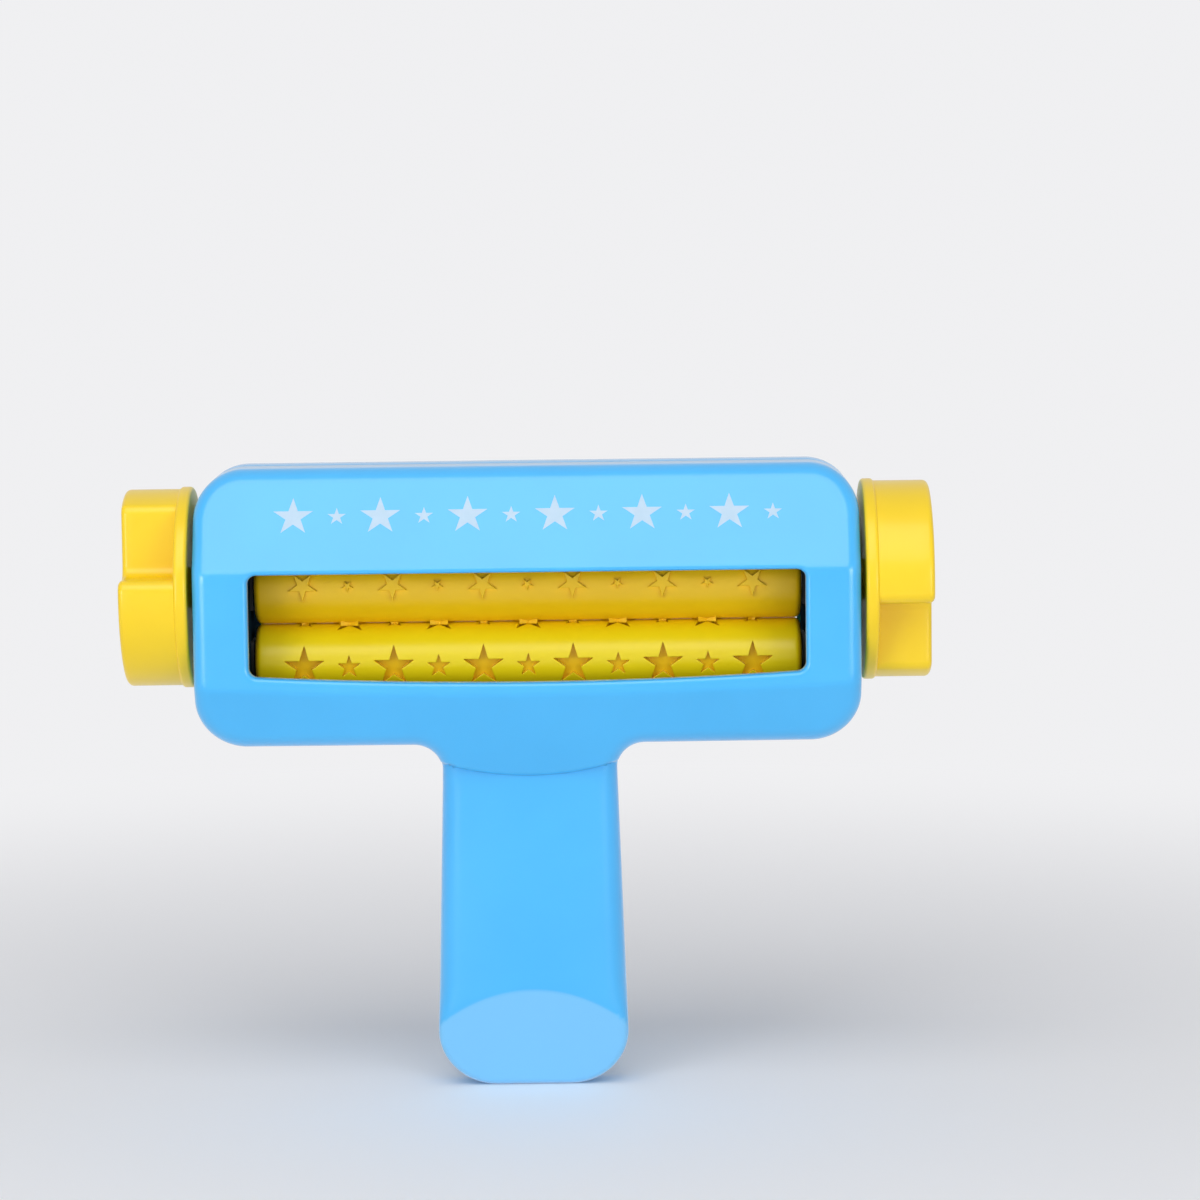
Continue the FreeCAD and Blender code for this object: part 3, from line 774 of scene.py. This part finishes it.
def plainRoller(axis):
    sheets = Sheets()
    angles = np.linspace(0, 2 * math.pi, roller["around"] + 1)[:-1]
    halfBarrel = roller["length"] / 2 - roller["endRound"]
    xs = np.linspace(-halfBarrel, halfBarrel, roller["rings"])
    sheets.strip([onRoller(np.full(len(angles), x), angles, roller["radius"], axis) for x in xs])
    rollerEnds(sheets, angles, axis)
    return sheets


class Growth(Nodes):
    # a geometry tree with named inputs, which runs on a mesh of loose points

    def __init__(self, name, inputs):
        super().__init__(bpy.data.node_groups.new(name, "GeometryNodeTree"))
        self.name, self.inputs = name, inputs
        kinds = {float: "NodeSocketFloat", int: "NodeSocketInt", bpy.types.Material: "NodeSocketMaterial"}
        sockets = [("Geometry", way, "NodeSocketGeometry") for way in ("INPUT", "OUTPUT")]
        sockets += [(label, "INPUT", kinds[type(value)]) for label, value in inputs.items()]
        for label, way, kind in sockets:
            self.tree.interface.new_socket(name=label, in_out=way, socket_type=kind)
        self.given = self.add("NodeGroupInput").outputs

    def spot(self, **axes):
        return self.first("ShaderNodeCombineXYZ", axes)

    def moved(self, geometry, **change):
        return self.first("GeometryNodeTransform", {"Geometry": geometry, **change})

    def join(self, *parts):
        # the part that is joined last comes first
        joined = self.add("GeometryNodeJoinGeometry")
        for part in parts:
            self.give(joined.inputs[0], part)
        return joined.outputs[0]

    def grow(self, geometry, seeds=((0, 0, 0),)):
        # ends the tree in real, painted faces, runs it and keeps the result as a plain mesh
        real = self.first("GeometryNodeRealizeInstances", {"Geometry": geometry})
        painted = {"Geometry": real, "Material": self.given["Material"]}
        self.add("NodeGroupOutput", {0: self.first("GeometryNodeSetMaterial", painted)})
        mesh = bpy.data.meshes.new(self.name + "Seeds")
        mesh.from_pydata([tuple(v * mm for v in seed) for seed in seeds], [], [])
        seed = newObject(self.name + "Seeds", mesh)
        modifier = seed.modifiers.new("grow", "NODES")
        modifier.node_group = self.tree
        for item in self.tree.interface.items_tree:
            if item.in_out == "INPUT" and item.name in self.inputs:
                modifier[item.identifier] = self.inputs[item.name]
        result = bpy.data.meshes.new_from_object(seed.evaluated_get(bpy.context.evaluated_depsgraph_get()))
        seed.modifiers.clear()
        bpy.data.objects.remove(seed)
        result.name = self.name
        return newObject(self.name, result)


def starSolid(tree, size):
    # a five-pointed star standing up along Z from its foot to its top, with a chamfered upper edge
    maths = tree.maths
    radius, foot, top, chamfer = (tree.given[name] for name in (size, "Foot", "Top", "Chamfer"))
    inner = maths("MULTIPLY", radius, starInner)
    curve = tree.first("GeometryNodeCurveStar", {"Points": 5, "Inner Radius": inner, "Outer Radius": radius})
    turned = tree.moved(curve, Rotation=(0, 0, math.pi / 2))
    filled = tree.first("GeometryNodeFillCurve", {"Curve": turned}, mode="NGONS")
    face = tree.moved(filled, Translation=tree.spot(Z=foot))

    def raised(height, sockets):
        sockets.update({"Offset Scale": height, "Individual": False})
        return tree.add("GeometryNodeExtrudeMesh", sockets).outputs

    wall = raised(maths("SUBTRACT", maths("SUBTRACT", top, foot), chamfer), {"Mesh": face})
    rim = raised(chamfer, {"Mesh": wall[0], "Selection": wall[1]})
    share = maths("SUBTRACT", 1.0, maths("DIVIDE", maths("MULTIPLY", chamfer, chamferLean), radius))
    upper = {"Geometry": rim[0], "Selection": rim[1], "Scale": share}
    under = tree.first("GeometryNodeFlipFaces", {"Mesh": face})
    whole = tree.join(tree.first("GeometryNodeScaleElements", upper), under)
    return tree.first("GeometryNodeMergeByDistance", {"Geometry": whole, "Distance": 1e-7})


def starsOn(tree, count, spot, kind, facing=(0, 0, 0), turn=(0, 0, 0)):
    # stars on points in a row, where kind is 0 for a large one and 1 for a small one
    pair = []
    for size in ("Small", "Large"):
        star = tree.moved(starSolid(tree, size), Rotation=facing)
        pair.append(tree.first("GeometryNodeGeometryToInstance", {"Geometry": star}))
    return tree.first("GeometryNodeInstanceOnPoints", {
        "Points": tree.first("GeometryNodePoints", {"Count": count, "Position": spot}),
        "Instance": tree.join(*pair), "Pick Instance": True, "Instance Index": kind, "Rotation": turn,
    })


raisedStars = {
    "Large": (roller["largePocket"] - roller["clearance"]) * mm,
    "Small": (roller["smallPocket"] - roller["clearance"]) * mm,
    "Foot": (roller["radius"] - roller["starRoot"]) * mm,
    "Top": roller["starTop"] * mm, "Chamfer": roller["starChamfer"] * mm,
    "Pitch": roller["pitch"] * mm, "Stars": roller["stars"], "Rows": roller["rows"],
    "Turn": math.radians(roller["turn"]), "Axis": upperAxis * mm, "Material": driveShadedPlastic,
}


def growRaisedStars(name, inputs):
    tree = Growth(name, inputs)
    given, maths = tree.given, tree.maths
    index = tree.first("GeometryNodeInputIndex")
    row = maths("FLOOR", maths("DIVIDE", index, given["Stars"]))
    place = maths("MODULO", index, given["Stars"])
    middle = maths("DIVIDE", maths("SUBTRACT", given["Stars"], 1.0), 2.0)
    x = maths("MULTIPLY", maths("SUBTRACT", place, middle), given["Pitch"])
    step = maths("DIVIDE", 2 * math.pi, given["Rows"])
    turn = maths("MULTIPLY", maths("MULTIPLY_ADD", row, step, given["Turn"]), -1.0)
    return tree.grow(starsOn(
        tree, maths("MULTIPLY", given["Stars"], given["Rows"]), tree.spot(X=x, Z=given["Axis"]),
        maths("MODULO", maths("ADD", place, row), 2.0),
        facing=(math.pi / 2, math.pi, 0), turn=tree.spot(X=turn),  # to the front, with a tip down
    ))


drivenRoller = pocketRoller(lowerAxis).build("drivenRoller", weld=0.002)
finishPiece(drivenRoller, "driven_train", drivenPlastic, ["driven_roller"])
driveRoller = plainRoller(upperAxis).build("driveRoller")
finishPiece(driveRoller, "drive_train", driveShadedPlastic, ["drive_roller"])
driveStars = growRaisedStars("driveRollerStars", raisedStars)
finishPiece(driveStars, "drive_train", driveShadedPlastic, ["drive_roller"], sharp=30)
print("rollers made")


# knobs

knob = {
    "flangeRadius": 22.5, "flangeIn": 74.6, "flangeOut": 77.5, "flangeRound": 0.8,
    "gripRadius": 22.0, "gripEnd": 89.7, "gripRound": 1.2,
    "notchFloor": 11.5, "notchStep": 3.6, "footRound": 2.5, "cornerRound": 2.5,
    "pitRadius": 5.0, "pitFloor": 85.5, "pitRound": 0.4,
    "hubRadius": 4.5, "hubStart": 70.1, "hubRound": 0.3, "bore": 2.6,
    "gripSunk": 1.0, "faceRing": 14.0, "faceStep": 1.6, "hubFillet": 0.5, "flangeEdge": 0.8,
}


def gripPath():
    # the grip with its two notches as (y, z) points round the axis, for the right knob
    outer, flat, step = knob["gripRadius"], knob["notchFloor"], knob["notchStep"]
    foot, ease, turns = knob["footRound"], knob["cornerRound"], np.linspace
    lobe = (math.sqrt((outer - ease) ** 2 - (step - ease) ** 2), step - ease)
    shoulder = (flat - ease, math.sqrt((outer - ease) ** 2 - (flat - ease) ** 2))
    first, last = math.atan2(lobe[1], lobe[0]), math.atan2(shoulder[1], shoulder[0])
    ledge = np.linspace((lobe[0], step), (flat + foot, step), 5)[1:-1]
    face = np.linspace((flat, step + foot), (flat, shoulder[1]), 9)[1:-1]
    half = np.concatenate([
        arcPath(lobe, ease, turns(first, math.pi / 2, 14)), ledge,
        arcPath((flat + foot, step + foot), foot, turns(-math.pi / 2, -math.pi, 10)), face,
        arcPath(shoulder, ease, turns(0, last, 10)),
        arcPath((0, 0), outer, turns(last, math.pi + first, 80))[1:-1],
    ])
    return np.concatenate([-half, half])


def knobPiece(name, node, side):
    # side is 1 for the right knob and -1 for the left one, which is the same knob turned round
    sheets = Sheets()
    inside, outside, radius = (knob[key] for key in ("flangeIn", "flangeOut", "flangeRadius"))
    rim, fillet, flat = (knob[key] for key in ("flangeRound", "hubFillet", "flangeEdge"))
    start, hub, bore, soft = (knob[key] for key in ("hubStart", "hubRadius", "bore", "hubRound"))
    end, ease, pit, pitEase = (knob[key] for key in ("gripEnd", "gripRound", "pitRadius", "pitRound"))
    seat = outside - knob["gripSunk"]
    quarter = np.linspace(0, math.pi / 2, 7)

    def place(x, path):
        return np.stack([np.full(len(path), x * side), path[:, 0] * side, path[:, 1] + upperAxis], 1)

    def beyond(path, radius):
        return lambda middles: between(middles, [path]) & (np.hypot(*middles.T) > radius)

    def rings(profile, count):
        return [place(x, circlePath(0, 0, r, count)) for x, r in profile]

    profile = [(start, bore), (start, hub - soft), (start + soft, hub), (inside - fillet, hub)]
    profile += [(inside - 0.2 * fillet, hub + 0.3 * fillet), (inside, hub + fillet)]
    profile += [(inside, knob["faceRing"]), (inside, radius - rim - flat)]
    profile += [(inside + rim - rim * math.cos(t), radius - rim + rim * math.sin(t)) for t in quarter]
    profile += [(outside - rim + rim * math.sin(t), radius - rim + rim * math.cos(t)) for t in quarter]
    profile += [(outside, radius - rim - flat), (outside, knob["faceRing"]), (outside, bore), (start, bore)]
    sheets.strip(rings(profile, 180))

    path = gripPath()
    grip = [(seat, 0)] + [(x, 0) for x in np.linspace(outside + 0.1, end - ease, 8)]
    grip += [(end - ease + ease * math.sin(t), ease * (1 - math.cos(t))) for t in quarter[1:]]
    sheets.strip([place(x, offsetPath(path, inset) if inset else path) for x, inset in grip])
    loops = [offsetPath(path, ease), circlePath(0, 0, pit + pitEase, 72)]
    loose = gridPoints(knob["faceStep"], path)
    loose = loose[between(loose, loops, knob["faceStep"] / 2)]
    points, faces = triangulate(loops, loose, beyond(loops[0], pit + pitEase / 2))
    sheets.add(place(end, points), faces)
    profile = [(end, pit + pitEase)]
    profile += [(end - pitEase * (1 - math.cos(t)), pit + pitEase * (1 - math.sin(t))) for t in quarter[1:]]
    profile += [(knob["pitFloor"], pit), (knob["pitFloor"], bore), (seat, bore)]
    sheets.strip(rings(profile, 72))
    points, faces = triangulate([path, circlePath(0, 0, bore, 72)], (), beyond(path, bore - 0.05))
    sheets.add(place(seat, points), faces)
    finishPiece(sheets.build(name), "drive_train", knobPlastic, [node], sharp=40)


knobPiece("rightKnob", "right_knob", 1)
knobPiece("leftKnob", "left_knob", -1)
print("knobs made")


# screws with a cross recess, made by one tree

screw = {
    "Head radius": 2.8 * mm, "Head": 1.9 * mm, "Crown": 0.55 * mm,
    "Shank radius": 1.5 * mm, "Length": 15.0 * mm,
    "Recess": 3.0 * mm, "Recess width": 0.62 * mm, "Recess depth": 1.1 * mm, "Material": screwSteel,
}
knobScrew = dict(screw, Length=9.0 * mm)
crownPower = 1.6  # the higher, the flatter the middle of the head
knobScrewLift = 0.8  # the washer under the head, in millimetres
shankDrop = 0.4999  # of its length, so that it ends just inside the head


def growScrews(name, inputs, seeds, turns):
    # turns are the rotations for seeds on the negative and the positive side of X
    tree = Growth(name, inputs)
    given, maths, spot = tree.given, tree.maths, tree.spot
    across = tree.axes(tree.first("GeometryNodeInputPosition"))
    head = {"Vertices": 48, "Side Segments": 2, "Fill Segments": 7}
    head.update({"Radius": given["Head radius"], "Depth": given["Head"]})
    head = tree.first("GeometryNodeMeshCylinder", head, fill_type="TRIANGLE_FAN")
    square = maths("ADD", *(maths("MULTIPLY", across[i], across[i]) for i in (0, 1)))
    share = maths("DIVIDE", square, maths("MULTIPLY", given["Head radius"], given["Head radius"]))
    share = maths("MULTIPLY", maths("POWER", share, crownPower), maths("GREATER_THAN", across[2], nought))
    sink = spot(Z=maths("MULTIPLY", maths("MULTIPLY", share, given["Crown"]), -1.0))
    domed = tree.first("GeometryNodeSetPosition", {"Geometry": head, "Offset": sink})
    seated = tree.moved(domed, Translation=spot(Z=maths("DIVIDE", given["Head"], 2.0)))
    cut = tree.add("GeometryNodeMeshBoolean", {0: seated}, operation="DIFFERENCE", solver="EXACT")
    blade = [given["Recess"], given["Recess width"]]
    for wide, deep in (blade, blade[::-1]):
        size = spot(X=wide, Y=deep, Z=maths("MULTIPLY", given["Recess depth"], 2.0))
        cube = tree.first("GeometryNodeMeshCube", {"Size": size})
        tree.give(cut.inputs[1], tree.moved(cube, Translation=spot(Z=given["Head"])))
    shank = {"Vertices": 32, "Radius": given["Shank radius"], "Depth": given["Length"]}
    shank = tree.first("GeometryNodeMeshCylinder", shank)
    sunk = tree.moved(shank, Translation=spot(Z=maths("MULTIPLY", given["Length"], -shankDrop)))
    sides = {"Factor": maths("GREATER_THAN", across[0], 0.0), 4: turns[0], 5: turns[1]}
    return tree.grow(tree.first("GeometryNodeInstanceOnPoints", {
        "Points": given["Geometry"], "Instance": tree.join(cut.outputs[0], sunk),
        "Rotation": tree.add("ShaderNodeMix", sides, data_type="VECTOR").outputs[1],
    }), seeds)


quarterTurn = math.pi / 2
shellSeeds = [(x, screwHoles["floor"], z) for x, z in screwHoles["places"]]
shellScrews = growScrews("shellScrews", screw, shellSeeds, [(-quarterTurn, 0, 0)] * 2)
finishPiece(shellScrews, "housing", screwSteel, ["shell_screws"])
knobSeeds = [(side * (knob["pitFloor"] + knobScrewLift), 0, upperAxis) for side in (-1, 1)]
knobScrews = growScrews("knobScrews", knobScrew, knobSeeds, [(0, -quarterTurn, 0), (0, quarterTurn, 0)])
finishPiece(knobScrews, "drive_train", screwSteel, ["left_knob_screw", "right_knob_screw"])
print("screws made")


# the printed row of plain stars on the upper front slope

printedStars = {
    "Large": 4.6 * mm, "Small": 2.1 * mm, "Foot": -0.3 * mm, "Top": 0.04 * mm, "Chamfer": 0.012 * mm,
    "Pitch": 9.6 * mm, "Stars": 12, "First": -51.2 * mm, "Material": starPrint,
}
printHeight = 25.3  # above the nip


def growPrintedStars(name, inputs):
    tree = Growth(name, inputs)
    index = tree.first("GeometryNodeInputIndex")
    x = tree.maths("MULTIPLY_ADD", index, tree.given["Pitch"], tree.given["First"])
    row = starsOn(tree, tree.given["Stars"], tree.spot(X=x), tree.maths("MODULO", index, 2.0))
    lean = math.radians(90 - housing["upperSlope"])
    place = (0, -bodyDepth(0, nip + printHeight) * mm, (nip + printHeight) * mm)
    return tree.grow(tree.moved(row, Rotation=(lean, 0, 0), Translation=place))


finishPiece(growPrintedStars("printedStars", printedStars), "housing", starPrint)
print("printed stars made")


# the pieces that keep their shape

unchanged = {"shaft": shaftSteel, "washer": screwSteel, "gear": acetal, "bush": bushPlastic}
for name, node in frame["nodes"].items():
    kind = name.split("_")[-1]
    if kind in unchanged:
        for slot in node.material_slots:
            slot.material = unchanged[kind]


# floor, light and camera

stage = {  # in metres and watts
    "front": -4.0, "back": 1.4, "bend": 0.9, "half": 5.0, "tall": 4.0,
    "floor": (0.93, 0.93, 0.94, 1), "floorRoughness": 0.7,
    "backdrop": (0.87, 0.87, 0.885, 1), "glowAway": (0.08, 0.5), "glowForward": (-0.4, -0.15),
    "sky": (0.93, 0.95, 1.0, 1), "skyStrength": 0.45,
    "lamps": {
        "overheadLamp": {"place": (-0.1, -0.75, 1.0), "size": 1.0, "power": 6.1},
        "leftLamp": {"place": (-0.7, -1.05, 0.20), "size": 0.5, "power": 3.9},
        "rightLamp": {"place": (0.7, -1.05, 0.18), "size": 0.5, "power": 3.4},
    },
    "aimHeight": 0.8,  # as a share of the nip's
}
view = {
    "distance": 950.0, "elevation": 6.0, "roll": -0.72,
    "targetX": 16.1, "targetAboveNip": 4.4, "lens": 127.0, "sensor": 36.0, "clip": (0.01, 20),
}


def setFloor():
    # one sheet: floor, a wide bend and a wall behind
    bend, back, half = stage["bend"], stage["back"], stage["half"]
    profile = [(stage["front"], 0.0), (0.0, 0.0)]
    turns = np.linspace(0, math.pi / 2, 24)
    profile += [(back + bend * math.sin(t), bend - bend * math.cos(t)) for t in turns]
    profile += [(back + bend, stage["tall"])]
    mesh = bpy.data.meshes.new("floor")
    corners = [(x, y, z) for y, z in profile for x in (-half, half)]
    mesh.from_pydata(corners, [], [(2 * i, 2 * i + 1, 2 * i + 3, 2 * i + 2) for i in range(len(profile) - 1)])
    mesh.shade_smooth()
    mesh.materials.append(bpy.data.materials.new("paleFloor"))
    finish = Finish(mesh.materials[0])
    finish.shade({"Base Color": stage["floor"], "Roughness": stage["floorRoughness"]})
    # away from the object all glows evenly for the camera, so the floor keeps the shadow, and the
    # floor close in front of the object glows in its reflections
    rays = finish.add("ShaderNodeLightPath").outputs
    away = finish.add("ShaderNodeVectorMath", {0: finish.place}, operation="LENGTH").outputs["Value"]
    away = finish.mapped(away, *stage["glowAway"])
    forward = finish.mapped(finish.axes(finish.place)["Y"], *stage["glowForward"])
    seen = finish.maths("MULTIPLY", away, rays["Is Camera Ray"])
    mirrored = finish.maths("MULTIPLY", forward, rays["Is Glossy Ray"])
    glow = finish.first("ShaderNodeEmission", {"Color": stage["backdrop"]})
    finish.mixOut("Material Output", finish.maths("MAXIMUM", seen, mirrored), finish.shader.outputs[0], glow)
    floor = newObject("floor", mesh)


def setWorld():
    # a pale sky for light, and the backdrop's colour for the camera and for reflections
    world = bpy.data.worlds.new("studio")
    world.use_nodes = True
    nodes = Nodes(world.node_tree)
    sky = world.node_tree.nodes["Background"]
    nodes.give(sky.inputs["Color"], stage["sky"])
    nodes.give(sky.inputs["Strength"], stage["skyStrength"])
    beyond = nodes.first("ShaderNodeBackground", {"Color": stage["backdrop"]})
    rays = nodes.add("ShaderNodeLightPath").outputs
    seen = nodes.maths("MAXIMUM", rays["Is Camera Ray"], rays["Is Glossy Ray"])
    nodes.mixOut("World Output", seen, sky.outputs[0], beyond)
    bpy.context.scene.world = world


def setLamps():
    aim = Vector((0, 0, nip * mm * stage["aimHeight"]))
    for name, look in stage["lamps"].items():
        light = bpy.data.lights.new(name, "AREA")
        light.size, light.energy = look["size"], look["power"]
        lamp = newObject(name, light)
        lamp.location = look["place"]
        lamp.rotation_euler = (aim - lamp.location).to_track_quat("-Z", "Y").to_euler()


def setCamera():
    data = bpy.data.cameras.new("camera")
    data.lens, data.sensor_width = view["lens"], view["sensor"]
    data.clip_start, data.clip_end = view["clip"]
    camera = newObject("camera", data)
    target = Vector((view["targetX"], 0, nip + view["targetAboveNip"])) * mm
    rise = math.radians(view["elevation"])
    away = Vector((0, -math.cos(rise), math.sin(rise)))
    camera.location = target + away * view["distance"] * mm
    turn = (-away).to_track_quat("-Z", "Y").to_matrix().to_4x4()
    camera.rotation_mode = "QUATERNION"
    camera.rotation_quaternion = (turn @ Matrix.Rotation(math.radians(view["roll"]), 4, "Z")).to_quaternion()
    bpy.context.scene.camera = camera


setFloor()
setWorld()
setLamps()
setCamera()
bpy.context.scene.view_settings.view_transform = "Standard"
print("stage, light and camera set")
